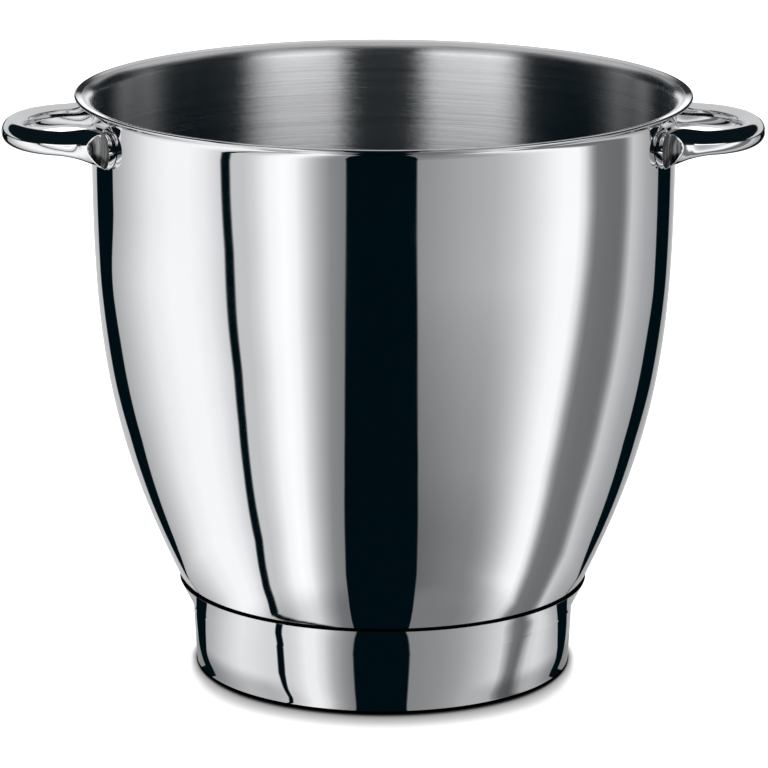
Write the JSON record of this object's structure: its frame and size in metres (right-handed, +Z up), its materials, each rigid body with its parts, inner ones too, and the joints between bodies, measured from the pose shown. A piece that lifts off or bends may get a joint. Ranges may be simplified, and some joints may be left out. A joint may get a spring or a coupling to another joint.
{
  "type": "stand mixer bowl",
  "caption": "Deep stainless steel mixing bowl with a flared lip, a round welded foot holding a twist-lock ring, and a bow handle welded to each side.",
  "frame": {"origin": "centre of the foot's underside, on the surface that the bowl stands on", "axes": "+Z up along the bowl's axis, X through both handles, Y across them"},
  "size_m": [0.297, 0.24, 0.2287],
  "materials": {
    "bowl_steel": "mirror polished outside, fine circular brushing inside",
    "foot_steel": "mirror polished",
    "plate_steel": "plain mill finish",
    "handle_steel": "mirror polished"
  },
  "bodies": {
    "root": {"bowl_shell": "bowl_steel", "foot_ring": "foot_steel", "locking_ring": "plate_steel", "handle_left": "handle_steel", "handle_right": "handle_steel"}
  },
  "joints": []
}
